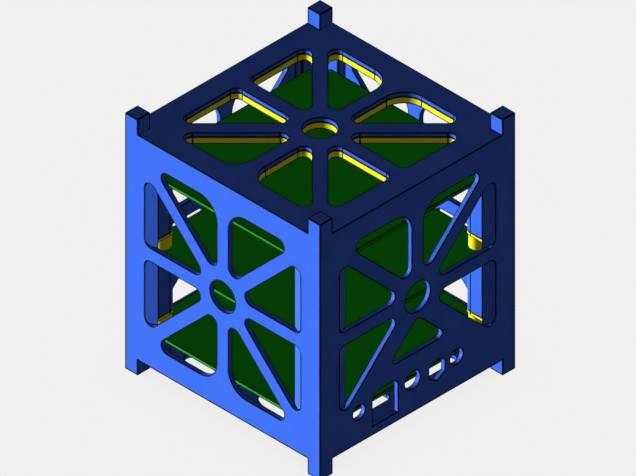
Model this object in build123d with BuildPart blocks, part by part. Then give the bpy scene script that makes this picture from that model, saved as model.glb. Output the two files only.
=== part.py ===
"""One-unit cube satellite: four square corner rails, six windowed skins and a stack of three boards.

The frame is +Z up, with the origin midway between the four lower rail ends, on the surface they stand on.
The front looks along -Y and the right side along +X. All sizes are millimetres.
"""
import os
from functools import cache
from math import hypot, sqrt

from build123d import *

# Overall sizes
WIDTH = 100.0  # over two opposite side panels
BODY_HEIGHT = 100.0  # from under the bottom plate to the top of the top plate
FOOT_LENGTH = 6.75  # rail end that stands clear of a plate
RAIL_SIDE = 6.4  # square section of a corner rail
SKIN = 2.0  # thickness of the panels and plates
LIP_THICKNESS = 1.6  # of the two lips of a rail, which lie behind the panels
LIP_SLOPE = 2.33  # run of the sloped end of a lip
FIT = 0.25  # clearance of a piece that drops in between the panels

# Window pattern, the same on every skin
BORDER = 10.0  # from the edge of a face to its windows
STRUT = 6.0  # width of the straight and diagonal struts
HUB_HOLE = 13.0  # diameter of the hole in the middle
WINDOW_ROUND = 3.0  # rounding of the sharp window corners
BROAD_ROUND = 9.0  # rounding where the upright strut meets the upper or lower border
BEVEL_RUN = 5.0  # how far the sloped edge of a side window reaches in over the skin

# Openings in the lower part of the right-hand panel: along from its middle, up from under the bottom plate
VENT_TOP_DOWN = 8.75  # from the middle of the panel to the vent's upper corner, before rounding
VENT_BASE_UP = 25.85
VENT_ROUND = 2.0
SOCKET_WIDTH = 13.0
SOCKET_HEIGHT = 14.6
SOCKET_ROUND = 3.0  # upper corners of the socket cut-out
SOCKET_ALONG = -16.6
SOCKET_UP = 11.3
HEX_FLATS = 8.0  # across the flats of the six-sided port
HEX_ALONG = 10.0
HEX_UP = 12.6
# Round ports, as columns: along, up, diameter
ROUND_PORTS = [
    (-30.0, 13.6, 6.2),
    (-2.6, 14.2, 7.8),
    (20.0, 13.4, 6.6),
]

# Frame plate under the top plate
FRAME_THICKNESS = 3.0

# Boards and what carries them
BOARD_GAP = 0.2  # between the lips of the rails and the edge of a board
BOARD_THICKNESS = 1.6
LOW_BOARD_UP = 11.15  # from under the bottom plate to under the lowest board
HIGH_BOARD_DOWN = 17.25  # from the top of the top plate to the top of the highest board
BOARD_CLEARANCE = 0.5  # between a board's cut corner and the rail
BRACKET_REACH = 6.9  # from the rail's inner faces to the inner faces of a corner bracket
BRACKET_ROUND = 3.6  # rounding of the innermost upright edge of a bracket
POST_DIAMETER = 7.0
POST_HEIGHT = 6.0
POST_OFFSET = 3.1  # from the rail's inner faces to the middle of a post
FLANGE_THICKNESS = 1.4  # head of a post, which the bracket stands on

# Places worked out from the sizes above
HALF = WIDTH / 2
MIDDLE_UP = FOOT_LENGTH + BODY_HEIGHT / 2
FLOOR_TOP = FOOT_LENGTH + SKIN
ROOF_UNDER = FOOT_LENGTH + BODY_HEIGHT - SKIN
FRAME_UNDER = ROOF_UNDER - FRAME_THICKNESS
RAIL_LENGTH = BODY_HEIGHT + 2 * FOOT_LENGTH
RAIL_MIDDLE = HALF - RAIL_SIDE / 2
RAIL_INNER = HALF - RAIL_SIDE
POST_MIDDLE = RAIL_INNER - POST_OFFSET
PANEL_INNER = HALF - SKIN
LIP_INNER = PANEL_INNER - LIP_THICKNESS
LIP_END = HALF - BORDER - BEVEL_RUN  # as far in as the sloped window edges reach
BRACKET_SIDE = LIP_INNER - RAIL_INNER + BRACKET_REACH
BRACKET_MIDDLE = LIP_INNER - BRACKET_SIDE / 2
BOARD_INSET = SKIN + LIP_THICKNESS + BOARD_GAP
BOARD_SIDE = WIDTH - 2 * BOARD_INSET
BOARD_CUT = 2 * (RAIL_SIDE - BOARD_INSET) + sqrt(2) * BOARD_CLEARANCE
LOW_BOARD = FOOT_LENGTH + LOW_BOARD_UP
HIGH_BOARD = FOOT_LENGTH + BODY_HEIGHT - HIGH_BOARD_DOWN - BOARD_THICKNESS
MIDDLE_BOARD = (LOW_BOARD + HIGH_BOARD) / 2
HALF_STRUT = STRUT / 2
SIDE_ACROSS = HALF - BORDER  # from the middle of a skin to the outer edge of its windows
SIDE_UP = BODY_HEIGHT / 2 - BORDER

# Corners of the body, as columns: name, side along X, side along Y
CORNERS = [
    ("front_left", -1, -1),
    ("front_right", 1, -1),
    ("back_left", -1, 1),
    ("back_right", 1, 1),
]
# Sides of the body, as columns: name, direction along the panel, outward direction
SIDES = [
    ("front", (1, 0, 0), (0, -1, 0)),
    ("right", (0, 1, 0), (1, 0, 0)),
    ("back", (-1, 0, 0), (0, 1, 0)),
    ("left", (0, -1, 0), (-1, 0, 0)),
]
QUARTERS = [(-1, -1), (1, -1), (-1, 1), (1, 1)]
UPPER_QUARTERS = [(-1, 1), (1, 1)]


def save(piece, name):
    """Labels a finished piece and writes it."""
    piece.label = name
    export_step(piece, f"parts/{name}.step")


def three_cornered(corners, radii):
    """A three-cornered opening, each corner rounded by its own radius."""
    with BuildSketch() as window:
        with BuildLine():
            Polyline(*corners, close=True)
        make_face()
        for corner, radius in zip(corners, radii):
            fillet(window.vertices().sort_by_distance(Vector(*corner))[0], radius)
    return window.sketch


@cache
def upright_window(across, up, side_x, side_y):
    """The window between the upright strut, a diagonal strut and the upper or lower border."""
    slant = hypot(across, up)
    corners = [
        (side_x * HALF_STRUT, side_y * up),
        (side_x * (across - HALF_STRUT * slant / up), side_y * up),
        (side_x * HALF_STRUT, side_y * HALF_STRUT * (up + slant) / across),
    ]
    return three_cornered(corners, [BROAD_ROUND, WINDOW_ROUND, WINDOW_ROUND])


@cache
def level_window(across, up, side_x, side_y):
    """The window between the level strut, a diagonal strut and a side border."""
    slant = hypot(across, up)
    corners = [
        (side_x * across, side_y * HALF_STRUT),
        (side_x * across, side_y * (up - HALF_STRUT * slant / across)),
        (side_x * HALF_STRUT * (across + slant) / up, side_y * HALF_STRUT),
    ]
    return three_cornered(corners, [WINDOW_ROUND, WINDOW_ROUND, WINDOW_ROUND])


def bevelled_cutter(plane, side_x, side_y):
    """The tool for a level window in a side panel, whose outer edge slopes in across the skin."""
    edge = Plane(
        origin=plane.from_local_coords(Vector(side_x * SIDE_ACROSS, 0, 0)),
        z_dir=plane.z_dir * BEVEL_RUN - plane.x_dir * side_x * SKIN,
    )
    with BuildPart() as cutter:
        with BuildSketch(plane):
            add(level_window(SIDE_ACROSS, SIDE_UP, side_x, side_y))
        extrude(amount=-SKIN)
        split(bisect_by=edge, keep=Keep.TOP)
    return cutter.part


def right_panel_openings():
    """The vent, socket and ports in the lower part of the right-hand panel."""
    under = -BODY_HEIGHT / 2
    vent_height = BODY_HEIGHT / 2 - VENT_TOP_DOWN - VENT_BASE_UP
    vent_half = vent_height * SIDE_ACROSS / SIDE_UP
    vent = [(0, -VENT_TOP_DOWN), (-vent_half, under + VENT_BASE_UP), (vent_half, under + VENT_BASE_UP)]
    with BuildSketch() as openings:
        with Locations((SOCKET_ALONG, under + SOCKET_UP)):
            socket = Rectangle(SOCKET_WIDTH, SOCKET_HEIGHT)
        fillet(socket.vertices().group_by(Axis.Y)[-1], SOCKET_ROUND)
        with Locations((HEX_ALONG, under + HEX_UP)):
            RegularPolygon(HEX_FLATS / 2, 6, major_radius=False, rotation=30)
        for along, up, diameter in ROUND_PORTS:
            with Locations((along, under + up)):
                Circle(diameter / 2)
        add(three_cornered(vent, [VENT_ROUND] * 3))
    return openings.sketch


def side_panel(side, along, outward):
    """One side panel with its windows, flush with the rails at both its edges."""
    middle = Vector(*outward) * HALF + Vector(0, 0, MIDDLE_UP)
    plane = Plane(origin=middle, x_dir=along, z_dir=outward)
    with_ports = side == "right"
    with BuildPart() as panel:
        with BuildSketch(plane):
            Rectangle(WIDTH - 2 * RAIL_SIDE, BODY_HEIGHT - 2 * SKIN)
            Circle(HUB_HOLE / 2, mode=Mode.SUBTRACT)
            for side_x, side_y in UPPER_QUARTERS if with_ports else QUARTERS:
                add(upright_window(SIDE_ACROSS, SIDE_UP, side_x, side_y), mode=Mode.SUBTRACT)
            if with_ports:
                add(right_panel_openings(), mode=Mode.SUBTRACT)
        extrude(amount=-SKIN)
        for side_x, side_y in QUARTERS:
            add(bevelled_cutter(plane, side_x, side_y), mode=Mode.SUBTRACT)
    return panel.part


def end_skin(under, thickness, half_side, corner):
    """A level plate with the full window pattern and its corners cut out round the rails."""
    across = SIDE_ACROSS
    with BuildPart() as plate:
        with BuildSketch(Plane.XY.offset(under)):
            Rectangle(2 * half_side, 2 * half_side)
            with GridLocations(2 * half_side - corner, 2 * half_side - corner, 2, 2):
                Rectangle(corner, corner, mode=Mode.SUBTRACT)
            Circle(HUB_HOLE / 2, mode=Mode.SUBTRACT)
            for side_x, side_y in QUARTERS:
                add(upright_window(across, across, side_x, side_y), mode=Mode.SUBTRACT)
                add(level_window(across, across, side_x, side_y), mode=Mode.SUBTRACT)
        extrude(amount=thickness)
    return plate.part


def lips_outline(side_x, side_y):
    """The two lips of a rail, which back the panels as far as their sloped window edges."""
    lip = [
        (RAIL_INNER, PANEL_INNER),
        (LIP_END, PANEL_INNER),
        (LIP_END + LIP_SLOPE, LIP_INNER),
        (RAIL_INNER, LIP_INNER),
    ]
    with BuildSketch() as outline:
        with BuildLine():
            Polyline(*[(side_x * along, side_y * line) for along, line in lip], close=True)
        make_face()
        with BuildLine():
            Polyline(*[(side_x * line, side_y * along) for along, line in lip], close=True)
        make_face()
    return outline.sketch


def bracket_outline(side_x, side_y):
    """The outline of a corner bracket, which fills the angle between the rail and its lips."""
    with BuildSketch() as outline:
        with Locations((side_x * BRACKET_MIDDLE, side_y * BRACKET_MIDDLE)):
            Rectangle(BRACKET_SIDE, BRACKET_SIDE)
        fillet(outline.vertices().sort_by_distance(Vector(0, 0, 0))[0], BRACKET_ROUND)
        with Locations((side_x * RAIL_MIDDLE, side_y * RAIL_MIDDLE)):
            Rectangle(RAIL_SIDE, RAIL_SIDE, mode=Mode.SUBTRACT)
    return outline.sketch


def bracket(side_x, side_y, under, top):
    """A corner bracket from one level of the stack to the next."""
    with BuildPart() as block:
        with BuildSketch(Plane.XY.offset(under)):
            add(bracket_outline(side_x, side_y))
        extrude(amount=top - under)
    return block.part


def seat(side_x, side_y, under):
    """A round post on a board with a flange for the bracket above it."""
    with BuildPart() as post:
        with BuildSketch(Plane.XY.offset(under)):
            with Locations((side_x * POST_MIDDLE, side_y * POST_MIDDLE)):
                Circle(POST_DIAMETER / 2)
        extrude(amount=POST_HEIGHT)
        with BuildSketch(Plane.XY.offset(under + POST_HEIGHT)):
            add(bracket_outline(side_x, side_y))
        extrude(amount=FLANGE_THICKNESS)
    return post.part


os.makedirs("parts", exist_ok=True)

# Corner rails, whose lips stand on the bottom plate and carry the frame plate
for corner, side_x, side_y in CORNERS:
    with BuildPart() as rail:
        with BuildSketch(Plane.XY):
            with Locations((side_x * RAIL_MIDDLE, side_y * RAIL_MIDDLE)):
                Rectangle(RAIL_SIDE, RAIL_SIDE)
        extrude(amount=RAIL_LENGTH)
        with BuildSketch(Plane.XY.offset(FLOOR_TOP)):
            add(lips_outline(side_x, side_y))
        extrude(amount=FRAME_UNDER - FLOOR_TOP)
    save(rail.part, f"rail_{corner}")

# Side panels
for side, along, outward in SIDES:
    save(side_panel(side, along, outward), f"panel_{side}")

# End plates, and the frame plate that drops in under the top one
save(end_skin(FOOT_LENGTH, SKIN, HALF, RAIL_SIDE), "plate_bottom")
save(end_skin(ROOF_UNDER, SKIN, HALF, RAIL_SIDE), "plate_top")
save(end_skin(FRAME_UNDER, FRAME_THICKNESS, HALF - SKIN - FIT, RAIL_SIDE - SKIN), "frame_plate")

# Boards, each with its corners cut off beside the rails
for number, under in enumerate([LOW_BOARD, MIDDLE_BOARD, HIGH_BOARD], start=1):
    with BuildPart() as board:
        with BuildSketch(Plane.XY.offset(under)) as outline:
            Rectangle(BOARD_SIDE, BOARD_SIDE)
            chamfer(outline.vertices(), BOARD_CUT)
        extrude(amount=BOARD_THICKNESS)
    save(board.part, f"board_{number}")

# Brackets and seats that carry the boards, as columns: level, underside, top, whether it stands on a seat
LEVELS = [
    ("floor", FLOOR_TOP, LOW_BOARD, False),
    ("lower", LOW_BOARD + BOARD_THICKNESS, MIDDLE_BOARD, True),
    ("upper", MIDDLE_BOARD + BOARD_THICKNESS, HIGH_BOARD, True),
]
for level, under, top, on_seat in LEVELS:
    for corner, side_x, side_y in CORNERS:
        foot = under
        if on_seat:
            save(seat(side_x, side_y, under), f"seat_{level}_{corner}")
            foot = under + POST_HEIGHT + FLANGE_THICKNESS
        save(bracket(side_x, side_y, foot, top), f"bracket_{level}_{corner}")
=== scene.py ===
"""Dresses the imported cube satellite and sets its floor, light and camera.

Every piece is a copy of its CAD node with a fine dark line along its edges and a procedural finish.
Lengths are metres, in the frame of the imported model: +Z up, the front panel along -Y and the panel
with the ports along +X.
"""

import logging
import math
from dataclasses import dataclass
from enum import Enum
from typing import Any, Callable, ClassVar

import bmesh
import bpy
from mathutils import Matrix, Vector


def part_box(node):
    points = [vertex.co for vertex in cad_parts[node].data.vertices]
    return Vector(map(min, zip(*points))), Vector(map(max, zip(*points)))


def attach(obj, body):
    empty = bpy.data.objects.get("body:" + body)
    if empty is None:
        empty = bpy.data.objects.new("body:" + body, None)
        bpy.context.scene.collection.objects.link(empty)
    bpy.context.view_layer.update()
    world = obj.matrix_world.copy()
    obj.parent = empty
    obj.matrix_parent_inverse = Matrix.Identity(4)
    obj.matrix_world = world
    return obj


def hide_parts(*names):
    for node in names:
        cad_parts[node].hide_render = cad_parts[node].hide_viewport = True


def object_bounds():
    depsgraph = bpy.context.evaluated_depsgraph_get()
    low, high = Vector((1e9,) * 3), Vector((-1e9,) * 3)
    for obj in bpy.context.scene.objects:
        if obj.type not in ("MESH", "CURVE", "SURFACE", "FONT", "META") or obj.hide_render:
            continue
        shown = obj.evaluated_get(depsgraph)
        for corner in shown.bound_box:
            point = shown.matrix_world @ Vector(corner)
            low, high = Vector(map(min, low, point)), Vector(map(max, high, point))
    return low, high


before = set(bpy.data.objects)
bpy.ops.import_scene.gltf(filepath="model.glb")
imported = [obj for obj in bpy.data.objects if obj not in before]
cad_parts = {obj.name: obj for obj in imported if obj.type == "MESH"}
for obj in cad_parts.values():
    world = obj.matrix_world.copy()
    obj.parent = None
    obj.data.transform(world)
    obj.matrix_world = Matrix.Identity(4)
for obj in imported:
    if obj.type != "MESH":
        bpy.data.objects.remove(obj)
CAD_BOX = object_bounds()

LOG = logging.getLogger("satellite")
Colour = tuple[float, float, float]
Direction = tuple[float, float, float]
FaceTest = Callable[[bmesh.types.BMFace], bool]

WHITE: Colour = (1.0, 1.0, 1.0)
LEVEL_AXES = (0, 1)  # X and Y
LINE_INDEX = 1  # material index of the dark line on every piece, and of the painted shade on the thin walls beside the panels' slopes
WAVE_RATE = 20.0  # radians of a wave texture along a metre, at a scale of 1

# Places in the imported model
HALF_WIDTH = CAD_BOX[1].x  # from the middle of the body to the outside of a panel
PANEL_INNER = -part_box("panel_front")[1].y  # from the middle of the body to the inside of a panel
LOW_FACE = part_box("plate_bottom")[0].z  # underside of the bottom plate
HIGH_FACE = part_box("plate_top")[1].z  # upper side of the top plate
WINDOW_REACH = 0.042  # from the middle of a skin, past its windows and short of its own boundary
PLATE_CUTS = (-0.02, 0.0, 0.02)  # places along X and Y of lines that cross every opening of a plate

# Limits that tell places and directions apart
NEAR = 0.00001  # between places that coincide
DOUBLED = 0.000001  # between corners of triangles that are one corner
FACING = 0.99  # least share of a normal along a direction that the face looks in
EDGE_ON = 0.1  # greatest share of a normal along a direction that the face lies in


class Slot(Enum):
    """Material slots of the record, one held by each kind of piece."""

    BLUE = "blue_metal"
    YELLOW = "yellow_metal"
    GREEN = "board_green"


class Corner(Enum):
    """Corners of the body, named from the front."""

    FRONT_LEFT = "front_left"
    FRONT_RIGHT = "front_right"
    BACK_LEFT = "back_left"
    BACK_RIGHT = "back_right"


class Side(Enum):
    """Sides of the body that carry a panel, as word, axis along the panel and outward direction."""

    FRONT = ("front", 0, (0.0, -1.0, 0.0))
    RIGHT = ("right", 1, (1.0, 0.0, 0.0))
    BACK = ("back", 0, (0.0, 1.0, 0.0))
    LEFT = ("left", 1, (-1.0, 0.0, 0.0))

    @property
    def word(self) -> str:
        """The side's part of the node name."""
        return self.value[0]

    @property
    def along(self) -> int:
        """The index of the axis that runs along the panel."""
        return self.value[1]

    @property
    def outward(self) -> Vector:
        """The direction that the panel faces."""
        return Vector(self.value[2])

    @classmethod
    def of(cls, node: str) -> "Side":
        """The side that a panel's node name ends with."""
        return next(side for side in cls if node.endswith(side.word))


class Level(Enum):
    """Levels of the board stack that a bracket bridges."""

    FLOOR = "floor"
    LOWER = "lower"
    UPPER = "upper"


class NodeSheet:
    """A shader node tree that is filled in one node at a time."""

    def __init__(self, tree: bpy.types.NodeTree) -> None:
        """Takes a tree and empties it."""
        self.tree = tree
        tree.nodes.clear()

    def add(self, kind: str, settings: dict[str, Any] | None = None, **inputs: Any) -> bpy.types.Node:
        """Adds a node.

        Args:
            kind: The node's type name without its common prefix.
            settings: Properties of the node itself.
            inputs: Input sockets by name, with spaces written as underscores. A socket is linked, and a
                value is set.

        Returns:
            The new node.
        """
        node = self.tree.nodes.new("ShaderNode" + kind)
        for name, value in (settings or {}).items():
            setattr(node, name, value)
        for name, value in inputs.items():
            self.feed(node.inputs[name.replace("_", " ")], value)
        return node

    def feed(self, socket: bpy.types.NodeSocket, value: Any) -> None:
        """Links a socket to another, or sets its value.

        Args:
            socket: The input socket.
            value: An output socket, or a plain value.
        """
        if isinstance(value, bpy.types.NodeSocket):
            self.tree.links.new(value, socket)
        else:
            socket.default_value = value

    def product(self, first: Any, second: Any) -> bpy.types.NodeSocket:
        """Multiplies two values.

        Args:
            first: The first value or socket.
            second: The second value or socket.

        Returns:
            The socket of their product, which is held between 0 and 1.
        """
        node = self.add("Math", {"operation": "MULTIPLY", "use_clamp": True})
        self.feed(node.inputs[0], first)
        self.feed(node.inputs[1], second)
        return node.outputs[0]

    def ramp(self, value: bpy.types.NodeSocket, low: float, high: float, start: float = 0.0,
             end: float = 1.0) -> bpy.types.NodeSocket:
        """Maps a value smoothly from one range to another.

        Args:
            value: The value to map.
            low: The lower end of its range.
            high: The upper end of its range.
            start: The result at the lower end.
            end: The result at the upper end.

        Returns:
            The result socket.
        """
        node = self.add("MapRange", {"interpolation_type": "SMOOTHSTEP"}, Value=value, From_Min=low,
                        From_Max=high, To_Min=start, To_Max=end)
        return node.outputs["Result"]

    def blend(self, factor: bpy.types.NodeSocket, first: Any, second: Any) -> bpy.types.NodeSocket:
        """Mixes two colours.

        Args:
            factor: The share of the second colour.
            first: The first colour or socket.
            second: The second colour or socket.

        Returns:
            The mixed colour's socket.
        """
        node = self.add("Mix", {"data_type": "RGBA"})
        colours = [socket for socket in node.inputs if socket.type == "RGBA"]
        self.feed(node.inputs[0], factor)
        self.feed(colours[0], first)
        self.feed(colours[1], second)
        return next(socket for socket in node.outputs if socket.type == "RGBA")

    def choose(self, factor: bpy.types.NodeSocket, first: bpy.types.Node,
               second: bpy.types.Node) -> bpy.types.Node:
        """Mixes two shaders.

        Args:
            factor: The share of the second shader.
            first: The first shader.
            second: The second shader.

        Returns:
            The node of the mixed shader.
        """
        node = self.add("MixShader", Fac=factor)
        self.feed(node.inputs[1], first.outputs[0])
        self.feed(node.inputs[2], second.outputs[0])
        return node


def opaque(colour: Colour) -> tuple[float, float, float, float]:
    """A colour with full opacity, as a colour socket takes it."""
    return (*colour, 1.0)


class Effects:
    """Shader node groups that more than one finish uses, each made once."""

    made: ClassVar[dict[str, bpy.types.NodeTree]] = {}

    @classmethod
    def start(cls, name: str, inputs: dict[str, float | None], outputs: list[str]) -> NodeSheet:
        """Starts a group with its sockets.

        Args:
            name: The group's name.
            inputs: Input names with their starting value, or None for a vector.
            outputs: Names of the value outputs.

        Returns:
            The empty sheet of the new group.
        """
        tree = bpy.data.node_groups.new(name, "ShaderNodeTree")
        for word, value in inputs.items():
            kind = "NodeSocketVector" if value is None else "NodeSocketFloat"
            socket = tree.interface.new_socket(word, in_out="INPUT", socket_type=kind)
            if value is not None:
                socket.default_value = value
        for word in outputs:
            tree.interface.new_socket(word, in_out="OUTPUT", socket_type="NodeSocketFloat")
        cls.made[name] = tree
        return NodeSheet(tree)

    @classmethod
    def close(cls, sheet: NodeSheet, results: dict[str, bpy.types.NodeSocket]) -> bpy.types.NodeTree:
        """Links a group's results to its outputs.

        Args:
            sheet: The group's sheet.
            results: Result sockets by output name.

        Returns:
            The finished group.
        """
        end = sheet.tree.nodes.new("NodeGroupOutput")
        for word, socket in results.items():
            sheet.feed(end.inputs[word], socket)
        return sheet.tree

    @classmethod
    def surface_skin(cls) -> bpy.types.NodeTree:
        """The uneven skin of a sprayed or printed surface.

        Returns:
            The group, which puts out slow clouding, a roughness that follows it, and the height of a
            fine peel.
        """
        if "surface_skin" in cls.made:
            return cls.made["surface_skin"]
        inputs = {"Vector": None, "Cloud Scale": 70.0, "Peel Scale": 1500.0, "Smoothest": 0.45,
                  "Roughest": 0.6}
        sheet = cls.start("surface_skin", inputs, ["Cloud", "Roughness", "Height"])
        given = sheet.tree.nodes.new("NodeGroupInput").outputs
        cloud = sheet.add("TexNoise", Vector=given["Vector"], Scale=given["Cloud Scale"], Detail=3.0,
                          Roughness=0.55)
        peel = sheet.add("TexNoise", Vector=given["Vector"], Scale=given["Peel Scale"], Detail=1.0,
                         Roughness=0.4)
        shade = sheet.ramp(cloud.outputs[0], low=0.3, high=0.7)
        spread = sheet.add("MapRange", Value=shade, To_Min=given["Smoothest"], To_Max=given["Roughest"])
        results = {"Cloud": shade, "Roughness": spread.outputs["Result"], "Height": peel.outputs[0]}
        return cls.close(sheet, results)

    @classmethod
    def handling_marks(cls) -> bpy.types.NodeTree:
        """Sparse dull marks from handling, in short broken streaks.

        Returns:
            The group, which puts out the mask of the marks.
        """
        if "handling_marks" in cls.made:
            return cls.made["handling_marks"]
        inputs = {"Vector": None, "Patch Scale": 45.0, "Streak Scale": 420.0}
        sheet = cls.start("handling_marks", inputs, ["Mask"])
        given = sheet.tree.nodes.new("NodeGroupInput").outputs
        patch = sheet.add("TexNoise", Vector=given["Vector"], Scale=given["Patch Scale"], Detail=2.0)
        drawn_out = sheet.add("Mapping", Vector=given["Vector"], Rotation=(0.4, 0.3, 0.7),
                              Scale=(1.0, 0.18, 0.4))
        streak = sheet.add("TexNoise", Vector=drawn_out.outputs[0], Scale=given["Streak Scale"], Detail=4.0,
                           Roughness=0.65)
        where = sheet.ramp(patch.outputs[0], low=0.52, high=0.68)
        broken = sheet.ramp(streak.outputs[0], low=0.55, high=0.68)
        return cls.close(sheet, {"Mask": sheet.product(where, broken)})


@dataclass(frozen=True, kw_only=True)
class Finish:
    """A procedural finish on object coordinates, with a faint clouding in its colour and roughness."""

    name: str
    colour: Colour
    cloud_colour: Colour  # where the clouding is fullest
    cloud_scale: float = 70.0
    smoothest: float = 0.45
    roughest: float = 0.6
    specular: float = 0.2

    def build(self) -> bpy.types.Material:
        """Makes the material.

        Returns:
            The finished material.
        """
        material = bpy.data.materials.new(self.name)
        material.use_nodes = True
        sheet = NodeSheet(material.node_tree)
        place = sheet.add("TexCoord").outputs["Object"]
        skin = sheet.add("Group", {"node_tree": Effects.surface_skin()}, Vector=place,
                         Cloud_Scale=self.cloud_scale, Smoothest=self.smoothest,
                         Roughest=self.roughest).outputs
        shader = sheet.add("BsdfPrincipled", Roughness=skin["Roughness"], Specular_IOR_Level=self.specular,
                           **self.surface(sheet, place, skin))
        sheet.add("OutputMaterial", Surface=shader.outputs[0])
        return material

    def surface(self, sheet: NodeSheet, place: bpy.types.NodeSocket,
                skin: bpy.types.NodeOutputs) -> dict[str, bpy.types.NodeSocket]:
        """The sockets for the shader, by input name: only a clouded colour, unless a finish has more."""
        return {"Base_Color": sheet.blend(skin["Cloud"], opaque(self.colour), opaque(self.cloud_colour))}


@dataclass(frozen=True, kw_only=True)
class CoatFinish(Finish):
    """A satin sprayed coat over aluminium, faintly clouded, with a fine peel and a few dull marks."""

    mark_colour: Colour
    mark_share: float = 0.12
    peel_depth: float = 0.000006
    peel_strength: float = 0.35

    def surface(self, sheet: NodeSheet, place: bpy.types.NodeSocket,
                skin: bpy.types.NodeOutputs) -> dict[str, bpy.types.NodeSocket]:
        """Adds the marks and the peel to the clouded colour.

        Args:
            sheet: The material's sheet.
            place: The object coordinates.
            skin: The outputs of the surface skin.

        Returns:
            Sockets for the shader, by input name.
        """
        marks = sheet.add("Group", {"node_tree": Effects.handling_marks()}, Vector=place).outputs
        tone = sheet.blend(skin["Cloud"], opaque(self.colour), opaque(self.cloud_colour))
        worn = sheet.blend(sheet.product(marks["Mask"], self.mark_share), tone, opaque(self.mark_colour))
        peel = sheet.add("Bump", Height=skin["Height"], Strength=self.peel_strength, Distance=self.peel_depth)
        return {"Base_Color": worn, "Normal": peel.outputs[0]}


@dataclass(frozen=True, kw_only=True)
class BoardFinish(Finish):
    """Green solder mask over woven laminate, with the weave faintly telegraphing through."""

    cloud_scale: float = 45.0
    smoothest: float = 0.42
    roughest: float = 0.55
    specular: float = 0.03
    cloud_share: float = 0.35
    weave_pitch: float = 0.0011
    weave_share: float = 0.16
    weave_depth: float = 0.000008
    weave_strength: float = 0.3

    def weave(self, sheet: NodeSheet, place: bpy.types.NodeSocket) -> bpy.types.NodeSocket:
        """Adds the crossing yarns of the laminate.

        Args:
            sheet: The material's sheet.
            place: The object coordinates.

        Returns:
            The height of the weave, from 0 to 1.
        """
        scale = 2 * math.pi / (WAVE_RATE * self.weave_pitch)
        yarns = []
        for direction in ("X", "Y"):
            settings = {"wave_type": "BANDS", "bands_direction": direction, "wave_profile": "SIN"}
            wave = sheet.add("TexWave", settings, Vector=place, Scale=scale, Distortion=0.4, Detail=1.0)
            yarns.append(wave.outputs["Fac"])
        return sheet.product(*yarns)

    def surface(self, sheet: NodeSheet, place: bpy.types.NodeSocket,
                skin: bpy.types.NodeOutputs) -> dict[str, bpy.types.NodeSocket]:
        """Adds the weave under the mask.

        Args:
            sheet: The material's sheet.
            place: The object coordinates.
            skin: The outputs of the surface skin.

        Returns:
            Sockets for the shader, by input name.
        """
        yarn = self.weave(sheet, place)
        showing = sheet.product(yarn, self.weave_share)
        tone = sheet.blend(showing, opaque(self.colour), opaque(self.cloud_colour))
        clouding = sheet.product(skin["Cloud"], self.cloud_share)
        clouded = sheet.blend(clouding, tone, opaque(self.cloud_colour))
        relief = sheet.add("Bump", Height=yarn, Strength=self.weave_strength, Distance=self.weave_depth)
        return {"Base_Color": clouded, "Normal": relief.outputs[0]}


@dataclass(frozen=True, kw_only=True)
class EdgeFinish(Finish):
    """The dark, dull line along an edge, also laid as painted shade on the thin walls beside the panels'
    slopes.
    """

    colour: Colour = (0.0035, 0.0045, 0.011)
    cloud_colour: Colour = (0.009, 0.011, 0.022)
    cloud_scale: float = 220.0
    smoothest: float = 0.75
    roughest: float = 0.9
    specular: float = 0.05


def pick_alone(piece: bpy.types.Object) -> None:
    """Selects one object and makes it the active one.

    Args:
        piece: The object.
    """
    bpy.ops.object.select_all(action="DESELECT")
    piece.select_set(True)
    bpy.context.view_layer.objects.active = piece


def is_level(face: bmesh.types.BMFace) -> bool:
    """Tells whether a face looks straight up or down."""
    return abs(face.normal.z) > FACING


def is_upright(face: bmesh.types.BMFace) -> bool:
    """Tells whether a face stands upright."""
    return abs(face.normal.z) < EDGE_ON


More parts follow.
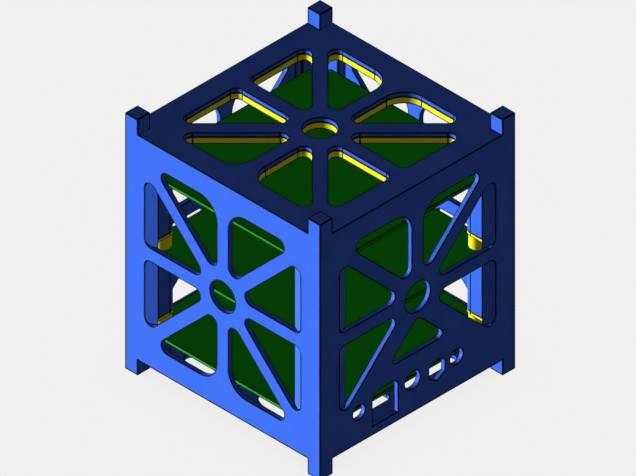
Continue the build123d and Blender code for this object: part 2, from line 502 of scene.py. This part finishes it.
@dataclass
class SubAssembly:
    """Pieces of one kind, each a copy of its CAD node with a dark line on both sides of its edges."""

    coat: bpy.types.Material
    line: bpy.types.Material
    slot: Slot = Slot.BLUE
    line_width: float = 0.00042  # of the strip on each side of an edge
    tick_width: float = 0.0003  # of the strips where a flat runs into a round
    line_angle: float = math.radians(15.0)  # least turn at an edge that carries a line
    sharp_angle: float = math.radians(30.0)  # least turn at an edge that isn't shaded smooth
    least_turn: float = math.radians(1.0)  # where a flat runs into a round
    flat_turn: float = math.radians(0.5)  # greatest turn between the triangles of a flat face
    flat_ratio: float = 2.0  # least width of a flat, as a multiple of the facet beside it
    cuts: tuple[float, ...] = ()  # places along X and Y of cuts that leave no level face with a hole

    def nodes(self) -> list[str]:
        """The CAD nodes that the pieces stand for."""
        raise NotImplementedError

    def cut_levels(self) -> tuple[float, ...]:
        """Heights at which a piece is cut across, so that a line can end there."""
        return ()

    def has_line(self, node: str, start: Vector, end: Vector) -> bool:
        """Tells whether a sharp edge carries a line, which not every seam between flush pieces does."""
        return True

    def build(self) -> list[bpy.types.Object]:
        """Makes, dresses and reports every piece.

        Returns:
            The pieces.
        """
        pieces = [self.dress(node) for node in self.nodes()]
        for piece in pieces:
            LOG.info("%s: %s, %d faces", type(self).__name__, piece.name, len(piece.data.polygons))
        return pieces

    def dress(self, node: str) -> bpy.types.Object:
        """Makes the piece that stands for one CAD node.

        Args:
            node: The CAD node.

        Returns:
            The finished piece.
        """
        piece = bpy.data.objects.new(node + "_dressed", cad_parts[node].data.copy())
        bpy.context.scene.collection.objects.link(piece)
        piece.data.materials.clear()
        piece.data.materials.append(self.coat)
        piece.data.materials.append(self.line)
        pick_alone(piece)
        bpy.ops.mesh.customdata_custom_splitnormals_clear()
        bpy.ops.object.mode_set(mode="EDIT")
        bpy.ops.mesh.select_mode(type="EDGE")
        bpy.ops.mesh.select_all(action="SELECT")
        bpy.ops.mesh.remove_doubles(threshold=DOUBLED)
        self.merge_flats(piece)
        for level in self.cut_levels():
            bpy.ops.mesh.select_all(action="SELECT")
            bpy.ops.mesh.bisect(plane_co=(0.0, 0.0, level), plane_no=(0.0, 0.0, 1.0))
        self.draw_lines(node, piece)
        bpy.ops.object.mode_set(mode="OBJECT")
        bpy.ops.object.shade_smooth_by_angle(angle=self.sharp_angle)
        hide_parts(node)
        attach(piece, "root")
        return piece

    def merge_flats(self, piece: bpy.types.Object) -> None:
        """Merges the triangles of each flat face, after the cuts that a kind of piece needs.

        Args:
            piece: The piece, in edit mode with everything selected.
        """
        if not self.cuts:
            bpy.ops.mesh.dissolve_limited(angle_limit=self.flat_turn)
            return
        for across in (Vector((1.0, 0.0, 0.0)), Vector((0.0, 1.0, 0.0))):
            for place in self.cuts:
                bpy.ops.mesh.select_all(action="SELECT")
                bpy.ops.mesh.bisect(plane_co=across * place, plane_no=across, threshold=NEAR)
        bpy.ops.mesh.select_all(action="DESELECT")
        shape = bmesh.from_edit_mesh(piece.data)
        for edge in shape.edges:
            edge.select_set(self.is_inner(edge))
        shape.select_flush_mode()
        bmesh.update_edit_mesh(piece.data)
        bpy.ops.mesh.dissolve_edges(use_verts=True)

    def is_inner(self, edge: bmesh.types.BMEdge) -> bool:
        """Tells whether an edge only divides a flat face.

        Args:
            edge: The edge.

        Returns:
            True for an edge between two triangles of a face, and False for a cut across a level face.
        """
        on_cut = any(all(abs(vert.co[axis] - place) < 2 * NEAR for vert in edge.verts)
                     for axis in LEVEL_AXES for place in self.cuts)
        keeps_cut = on_cut and is_level(edge.link_faces[0])
        return edge.calc_face_angle(math.pi) < self.flat_turn and not keeps_cut

    def is_tangent(self, edge: bmesh.types.BMEdge) -> bool:
        """Tells whether a flat face runs into a round one along an edge.

        Args:
            edge: The edge.

        Returns:
            True where a wide face meets a narrow facet, with a slight turn between them.
        """
        if len(edge.link_faces) != 2 or not self.least_turn < edge.calc_face_angle() < self.line_angle:
            return False
        narrow, wide = sorted(face.calc_area() / edge.calc_length() for face in edge.link_faces)
        return wide > self.flat_ratio * narrow

    def split_strips(self, shape: bmesh.types.BMesh, piece: bpy.types.Object, width: float) -> None:
        """Splits off a dark strip on both faces of each selected edge.

        Args:
            shape: The piece's mesh in edit mode.
            piece: The piece.
            width: The width of each strip.
        """
        shape.select_flush_mode()
        bmesh.update_edit_mesh(piece.data)
        bpy.ops.mesh.bevel(offset_type="OFFSET", offset=width, segments=2, profile=1.0, affect="EDGES",
                           clamp_overlap=False, loop_slide=False, material=LINE_INDEX)

    def draw_ticks(self, piece: bpy.types.Object) -> None:
        """Draws the short lines where flats run into rounds.

        Args:
            piece: The piece, in edit mode.
        """
        bpy.ops.mesh.select_all(action="DESELECT")
        shape = bmesh.from_edit_mesh(piece.data)
        for edge in shape.edges:
            edge.select_set(self.is_tangent(edge))
        self.split_strips(shape, piece, self.tick_width)

    def draw_lines(self, node: str, piece: bpy.types.Object) -> None:
        """Draws the lines of a piece: first the ticks, then the edges.

        Args:
            node: The CAD node.
            piece: The piece, in edit mode.
        """
        self.draw_ticks(piece)
        bpy.ops.mesh.select_all(action="DESELECT")
        bpy.ops.mesh.edges_select_sharp(sharpness=self.line_angle)
        shape = bmesh.from_edit_mesh(piece.data)
        for edge in shape.edges:
            if edge.select and not self.has_line(node, edge.verts[0].co, edge.verts[1].co):
                edge.select_set(False)
        self.split_strips(shape, piece, self.line_width)

    def inset_strips(self, node: str, piece: bpy.types.Object, width: float, chosen: FaceTest) -> None:
        """Insets some faces of a piece and darkens the strips along their rim.

        Args:
            node: The CAD node.
            piece: The piece, in edit mode.
            width: The width of the strips.
            chosen: Tells whether a face is inset.
        """
        bpy.ops.mesh.select_mode(type="FACE")
        bpy.ops.mesh.select_all(action="DESELECT")
        shape = bmesh.from_edit_mesh(piece.data)
        for face in shape.faces:
            face.select_set(chosen(face))
        bmesh.update_edit_mesh(piece.data)
        bpy.ops.mesh.inset(thickness=width, depth=0.0, use_boundary=True, use_even_offset=True)
        self.darken(piece, lambda face: chosen(face) and self.has_rim(node, face, chosen))

    def darken(self, piece: bpy.types.Object, chosen: FaceTest) -> None:
        """Gives some faces of a piece the material of the line.

        Args:
            piece: The piece, in edit mode.
            chosen: Tells whether a face is darkened.
        """
        shape = bmesh.from_edit_mesh(piece.data)
        for face in filter(chosen, shape.faces):
            face.material_index = LINE_INDEX
        bmesh.update_edit_mesh(piece.data)

    def has_rim(self, node: str, face: bmesh.types.BMFace, chosen: FaceTest) -> bool:
        """Tells whether a chosen face lies at the rim of the chosen faces, along a line.

        Args:
            node: The CAD node.
            face: The face.
            chosen: Tells whether a face is chosen.

        Returns:
            True where a sharp edge carries a line and has a face beyond it that isn't chosen.
        """
        rim = [edge for edge in face.edges if not all(chosen(beside) for beside in edge.link_faces)]
        return any(edge.calc_face_angle(0.0) > self.line_angle
                   and self.has_line(node, edge.verts[0].co, edge.verts[1].co) for edge in rim)


@dataclass
class CornerRails(SubAssembly):
    """The four square rails with their lips, whose ends stand clear of the plates."""

    line_width: float = 0.00055
    plate_levels: tuple[float, float] = (LOW_FACE, HIGH_FACE)
    half_width: float = HALF_WIDTH
    panel_inner: float = PANEL_INNER

    def nodes(self) -> list[str]:
        """The rails' nodes."""
        return [f"rail_{corner.value}" for corner in Corner]

    def cut_levels(self) -> tuple[float, ...]:
        """The outer faces of the two plates."""
        return self.plate_levels

    def has_line(self, node: str, start: Vector, end: Vector) -> bool:
        """Tells whether a sharp edge carries a line.

        Args:
            node: The CAD node, which is not used here.
            start: One end of the edge.
            end: Its other end.

        Returns:
            True for the outermost edge, the edges inside the body and every edge of the free ends.
        """
        places = [abs(point[axis]) for point in (start, end) for axis in LEVEL_AXES]
        inside = max(places) < self.panel_inner + NEAR
        outermost = min(places) > self.half_width - NEAR
        low, high = self.plate_levels
        free_low = max(start.z, end.z) < low + NEAR
        free_high = min(start.z, end.z) > high - NEAR
        return outermost or inside or free_low or free_high


@dataclass(frozen=True)
class FaceGroup:
    """Faces of a panel that look the same way, with the line along their edges.

    The least and most are the share of the normal that points outward. The reach is how far from the
    panel's middle such a face lies at most, along the panel and up.
    """

    least: float
    most: float
    line_width: float
    reach_along: float = math.inf
    reach_up: float = math.inf


@dataclass
class SidePanels(SubAssembly):
    """The four windowed panels between the rails."""

    middle_height: float = (LOW_FACE + HIGH_FACE) / 2
    clear_along: float = WINDOW_REACH
    clear_up: float = 0.047  # from the middle, past the openings and short of the panel's boundary
    slope_from: float = 0.037  # from the middle, short of the thin walls beside the slopes
    # The outer face, the slopes, the inner face and the walls of the openings
    groups: tuple[FaceGroup, ...] = (
        FaceGroup(FACING, math.inf, 0.00042),
        FaceGroup(0.5, FACING, 0.00032),
        FaceGroup(-math.inf, -FACING, 0.00042),
        FaceGroup(-EDGE_ON, EDGE_ON, 0.0003, slope_from, clear_up),
    )

    def nodes(self) -> list[str]:
        """The panels' nodes."""
        return [f"panel_{side.word}" for side in Side]

    def has_line(self, node: str, start: Vector, end: Vector) -> bool:
        """Tells whether a sharp edge carries a line.

        Args:
            node: The CAD node.
            start: One end of the edge.
            end: Its other end.

        Returns:
            True for an opening's edge, and False for the panel's own boundary, which lies flush.
        """
        middle = (start + end) / 2
        clear_along = abs(middle[Side.of(node).along]) < self.clear_along
        return clear_along and abs(middle.z - self.middle_height) < self.clear_up

    def in_group(self, node: str, face: bmesh.types.BMFace, group: FaceGroup) -> bool:
        """Tells whether a face belongs to a group.

        Args:
            node: The CAD node.
            face: The face.
            group: The group.

        Returns:
            True for a face that looks the group's way and lies within its reach.
        """
        side = Side.of(node)
        middle = face.calc_center_median()
        near_along = abs(middle[side.along]) < group.reach_along
        near_up = abs(middle.z - self.middle_height) < group.reach_up
        return near_along and near_up and group.least < face.normal.dot(side.outward) < group.most

    def draw_lines(self, node: str, piece: bpy.types.Object) -> None:
        """Insets each group of faces and darkens the strips, then darkens the thin walls beside the slopes as
        painted shade over the light they would catch.

        Args:
            node: The CAD node.
            piece: The panel, in edit mode.
        """
        for group in self.groups:
            self.inset_strips(node, piece, group.line_width, lambda face: self.in_group(node, face, group))
        # painted shade: the thin walls beside the slopes take the dark line material, hiding the light they
        # would catch
        self.darken(piece, lambda face: self.is_narrow_wall(node, face))

    def is_narrow_wall(self, node: str, face: bmesh.types.BMFace) -> bool:
        """Tells whether a face is the thin end of a wall beside a slope, where two lines meet; such a wall is
        darkened all over as painted shade, hiding the light it would catch.

        Args:
            node: The CAD node.
            face: The face.

        Returns:
            True for a wall that is no deeper than two lines, which gets the painted shade.
        """
        side = Side.of(node)
        depths = [vert.co.dot(side.outward) for vert in face.verts]
        wall = abs(face.normal.dot(side.outward)) < EDGE_ON
        beside_slope = self.slope_from < abs(face.calc_center_median()[side.along]) < self.clear_along
        return wall and beside_slope and max(depths) - min(depths) < 2 * self.line_width


@dataclass
class EndPlates(SubAssembly):
    """The windowed plates at the top and bottom of the body."""

    cuts: tuple[float, ...] = PLATE_CUTS
    clear_along: float = WINDOW_REACH
    outer_levels: tuple[float, float] = (LOW_FACE, HIGH_FACE)
    top_width: float = 0.00042  # of the line on the outer walls of the top plate
    bottom_width: float = 0.0006  # of the line on the outer walls of the bottom plate
    level_width: float = 0.00036  # of the line on the level faces

    def nodes(self) -> list[str]:
        """The plates' nodes."""
        return ["plate_top", "plate_bottom"]

    def has_line(self, node: str, start: Vector, end: Vector) -> bool:
        """Tells whether a sharp edge carries a line.

        Args:
            node: The CAD node, which is not used here.
            start: One end of the edge.
            end: Its other end.

        Returns:
            True for the edges of the windows and the boundary of the outer face.
        """
        middle = (start + end) / 2
        window = max(abs(middle.x), abs(middle.y)) < self.clear_along
        outer = any(max(abs(start.z - level), abs(end.z - level)) < NEAR for level in self.outer_levels)
        return window or outer

    def draw_lines(self, node: str, piece: bpy.types.Object) -> None:
        """Draws the ticks, then insets the outer walls, the windows' walls and the level faces.

        Args:
            node: The CAD node.
            piece: The plate, in edit mode.
        """
        self.draw_ticks(piece)
        outer_width = self.top_width if node == "plate_top" else self.bottom_width
        self.inset_strips(node, piece, outer_width, lambda face: self.is_wall(face, outer=True))
        self.inset_strips(node, piece, self.line_width, lambda face: self.is_wall(face, outer=False))
        self.inset_strips(node, piece, self.level_width, is_level)

    def is_wall(self, face: bmesh.types.BMFace, outer: bool) -> bool:
        """Tells whether a face stands upright on one side of the windows' reach.

        Args:
            face: The face.
            outer: True for the plate's own boundary, and False for the windows.

        Returns:
            True for such a wall.
        """
        middle = face.calc_center_median()
        beyond = max(abs(middle.x), abs(middle.y)) > self.clear_along
        return is_upright(face) and beyond == outer


@dataclass
class FramePlate(SubAssembly):
    """The yellow plate under the top one, with the same windows."""

    slot: Slot = Slot.YELLOW
    cuts: tuple[float, ...] = PLATE_CUTS

    def nodes(self) -> list[str]:
        """The plate's node."""
        return ["frame_plate"]


@dataclass
class BoardStack(SubAssembly):
    """The three boards inside the body."""

    slot: Slot = Slot.GREEN
    count: int = 3

    def nodes(self) -> list[str]:
        """The boards' nodes, from the lowest up."""
        return [f"board_{number}" for number in range(1, self.count + 1)]


@dataclass
class CornerBrackets(SubAssembly):
    """The rounded brackets in the corners, between the levels of the stack."""

    def nodes(self) -> list[str]:
        """The brackets' nodes, level by level."""
        return [f"bracket_{level.value}_{corner.value}" for level in Level for corner in Corner]


@dataclass
class PostSeats(SubAssembly):
    """The round posts with flanges on the lower two boards."""

    slot: Slot = Slot.YELLOW
    line_width: float = 0.0003
    cuts: tuple[float, ...] = (-0.0415, 0.0415)  # across the posts
    levels: tuple[Level, ...] = (Level.LOWER, Level.UPPER)

    def nodes(self) -> list[str]:
        """The seats' nodes, level by level."""
        return [f"seat_{level.value}_{corner.value}" for level in self.levels for corner in Corner]

    def draw_lines(self, node: str, piece: bpy.types.Object) -> None:
        """Draws the ticks, then insets the upright walls and darkens the strips at their ends."""
        self.draw_ticks(piece)
        self.inset_strips(node, piece, self.line_width, is_upright)


@dataclass
class Studio:
    """The pale floor, the side light, the even fill and the camera of the picture."""

    pale: float = 0.871  # brightness of the floor and the backdrop
    contact_shade: float = 0.94  # share of that brightness close to what stands on the floor
    shade_reach: float = 0.02
    shade_samples: int = 16
    floor_side: float = 8.0
    floor_cuts: int = 7
    floor_grey: Colour = (0.8, 0.8, 0.8)  # as the object sees the floor
    ambient: float = 0.01
    key_strength: float = 5.7
    key_from: Direction = (-1.46, -1.0, 0.0)
    key_angle: float = math.radians(1.0)
    key_colour: Colour = WHITE
    fill_strength: float = 0.113
    fill_angle: float = math.pi
    fill_colour: Colour = (1.0, 0.83, 0.7)
    azimuth: float = math.radians(45.0)
    elevation: float = math.asin(1.0 / math.sqrt(3.0))  # from which the three axes look equally long
    distance: float = 0.6
    clip_start: float = 0.01
    clip_end: float = 20.0
    frame_width: float = 0.2306
    offset_right: float = -0.000782
    offset_up: float = 0.000873

    def build(self) -> None:
        """Makes the floor, the surroundings, the lights and the camera."""
        self.lay_floor()
        self.set_surroundings()
        self.hang_light("side_light", self.key_from, self.key_strength, self.key_angle, self.key_colour)
        for axis, letter in enumerate("xyz"):
            for sign, word in ((1.0, "plus"), (-1.0, "minus")):
                source = [0.0, 0.0, 0.0]
                source[axis] = sign
                self.hang_light(f"fill_{word}_{letter}", tuple(source), self.fill_strength, self.fill_angle,
                                self.fill_colour)
        self.place_camera()

    def lay_floor(self) -> None:
        """Lays a floor that looks evenly pale, with a faint shade close to what stands on it."""
        bpy.ops.object.select_all(action="DESELECT")
        bpy.ops.mesh.primitive_plane_add(size=self.floor_side)
        floor = bpy.context.active_object
        floor.name = "studio_floor"
        bpy.ops.object.mode_set(mode="EDIT")
        bpy.ops.mesh.subdivide(number_cuts=self.floor_cuts)
        bpy.ops.object.mode_set(mode="OBJECT")
        floor.data.materials.append(self.floor_paper())

    def floor_paper(self) -> bpy.types.Material:
        """Makes the floor's material, which is clear from below.

        Returns:
            The material.
        """
        material = bpy.data.materials.new("floor_paper")
        material.use_nodes = True
        sheet = NodeSheet(material.node_tree)
        near = sheet.add("AmbientOcclusion", {"samples": self.shade_samples}, Distance=self.shade_reach)
        shade = sheet.ramp(near.outputs["AO"], low=0.0, high=1.0, start=self.pale * self.contact_shade,
                           end=self.pale)
        glow = sheet.add("Emission", Color=shade)
        matt = sheet.add("BsdfDiffuse", Color=opaque(self.floor_grey))
        clear = sheet.add("BsdfTransparent")
        top = sheet.choose(sheet.add("LightPath").outputs["Is Camera Ray"], matt, glow)
        both = sheet.choose(sheet.add("NewGeometry").outputs["Backfacing"], top, clear)
        sheet.add("OutputMaterial", Surface=both.outputs[0])
        return material

    def set_surroundings(self) -> None:
        """Sets the pale backdrop that the camera sees and the dim light that the object gets."""
        world = bpy.data.worlds.new("studio")
        bpy.context.scene.world = world
        world.use_nodes = True
        sheet = NodeSheet(world.node_tree)
        dim = sheet.add("Background", Color=opaque(WHITE), Strength=self.ambient)
        backdrop = sheet.add("Background", Color=opaque(WHITE), Strength=self.pale)
        mixed = sheet.choose(sheet.add("LightPath").outputs["Is Camera Ray"], dim, backdrop)
        sheet.add("OutputWorld", Surface=mixed.outputs[0])

    def hang_light(self, name: str, source: Direction, strength: float, angle: float, colour: Colour) -> None:
        """Hangs a distant light that throws no shadow and doesn't bounce, as in the picture.

        Args:
            name: The light's name.
            source: The direction that the light comes from.
            strength: Its strength.
            angle: How wide it is, seen from the object. Half a turn lights evenly from all of that side.
            colour: Its colour.
        """
        light = bpy.data.lights.new(name, "SUN")
        light.energy = strength
        light.color = colour
        light.angle = angle
        light.use_shadow = False
        light.cycles.max_bounces = 0
        light.cycles.use_multiple_importance_sampling = False
        lamp = bpy.data.objects.new(name, light)
        lamp.rotation_mode = "QUATERNION"
        lamp.rotation_quaternion = (-Vector(source)).to_track_quat("-Z", "Y")
        bpy.context.scene.collection.objects.link(lamp)

    def place_camera(self) -> None:
        """Places the camera, which sees in parallel."""
        back = Vector((math.sin(self.azimuth) * math.cos(self.elevation),
                       -math.cos(self.azimuth) * math.cos(self.elevation), math.sin(self.elevation)))
        turn = (-back).to_track_quat("-Z", "Y")
        right = turn @ Vector((1.0, 0.0, 0.0))
        up = turn @ Vector((0.0, 1.0, 0.0))
        lens = bpy.data.cameras.new("picture_camera")
        lens.type = "ORTHO"
        lens.ortho_scale = self.frame_width
        lens.clip_start = self.clip_start
        lens.clip_end = self.clip_end
        camera = bpy.data.objects.new("picture_camera", lens)
        camera.rotation_mode = "QUATERNION"
        camera.rotation_quaternion = turn
        centre = (CAD_BOX[0] + CAD_BOX[1]) / 2
        camera.location = centre + back * self.distance + right * self.offset_right + up * self.offset_up
        bpy.context.scene.collection.objects.link(camera)
        bpy.context.scene.camera = camera
        bpy.context.scene.view_settings.view_transform = "Standard"


def main() -> None:
    """Builds the studio and every sub-assembly in order."""
    logging.basicConfig(level=logging.INFO, format="%(message)s")
    Studio().build()
    blue = CoatFinish(name="satin_blue_coat", colour=(0.034, 0.148, 0.90), cloud_colour=(0.03, 0.138, 0.85),
                      mark_colour=(0.10, 0.22, 0.88)).build()
    yellow = CoatFinish(name="satin_yellow_coat", colour=(0.93, 0.92, 0.012), cloud_colour=(0.90, 0.87, 0.01),
                        mark_colour=(0.92, 0.90, 0.10)).build()
    green = BoardFinish(name="green_solder_mask", colour=(0.006, 0.46, 0.006),
                        cloud_colour=(0.004, 0.41, 0.004)).build()
    line = EdgeFinish(name="dark_edge_line_and_painted_shade").build()
    pieces = []
    for kind in (CornerRails, SidePanels, EndPlates, CornerBrackets):
        pieces += kind(blue, line).build()
    for kind in (FramePlate, PostSeats):
        pieces += kind(yellow, line).build()
    pieces += BoardStack(green, line).build()
    LOG.info("%d pieces", len(pieces))


if __name__ == "__main__":
    main()
